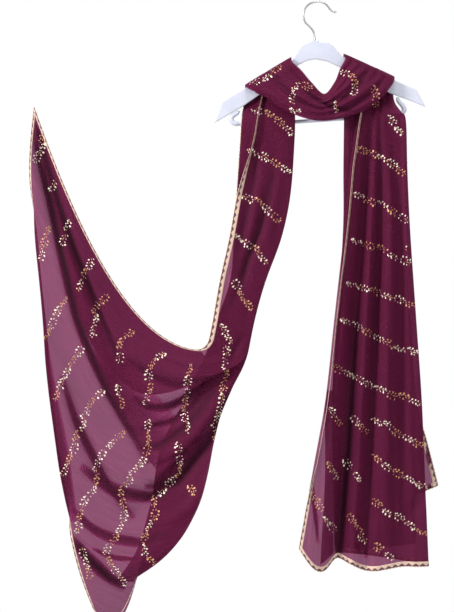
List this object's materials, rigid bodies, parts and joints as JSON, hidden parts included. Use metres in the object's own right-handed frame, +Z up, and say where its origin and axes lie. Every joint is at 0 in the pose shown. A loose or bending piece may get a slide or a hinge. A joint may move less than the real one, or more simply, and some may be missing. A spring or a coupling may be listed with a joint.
{
  "type": "draped dupatta stole on a clothes hanger",
  "caption": "Sheer georgette dupatta with lace edges, wound over a plastic hanger: cowl in front, one tail hanging straight, the other spread as a fan.",
  "frame": {"origin": "inner side of the hook's crown, where a rail carries the hanger", "axes": "+Z up, -Y to the front, +X to the wearer's left and the picture's right, across the hanger"},
  "size_m": [0.7815, 0.0832, 1.1864],
  "materials": {
    "hook": "bright drawn wire",
    "hanger_body": "pale blue-white, moulded",
    "trouser_bar": "pale blue-white, moulded",
    "neck_cowl": "sheer crinkled georgette with foil vines",
    "left_tail": "sheer crinkled georgette with foil vines",
    "left_side_lace": "narrow metallic-thread lace",
    "left_back_lace": "narrow metallic-thread lace",
    "left_end_lace": "narrow metallic-thread lace",
    "right_tail": "sheer crinkled georgette with foil vines",
    "right_side_lace": "narrow metallic-thread lace",
    "right_back_lace": "narrow metallic-thread lace",
    "right_end_lace": "narrow metallic-thread lace"
  },
  "bodies": {
    "root": {"hook": "hook", "hanger_body": "hanger_body", "trouser_bar": "trouser_bar", "neck_cowl": "neck_cowl", "left_tail": "left_tail", "left_side_lace": "left_side_lace", "left_back_lace": "left_back_lace", "left_end_lace": "left_end_lace", "right_tail": "right_tail", "right_side_lace": "right_side_lace", "right_back_lace": "right_back_lace", "right_end_lace": "right_end_lace"}
  },
  "joints": []
}
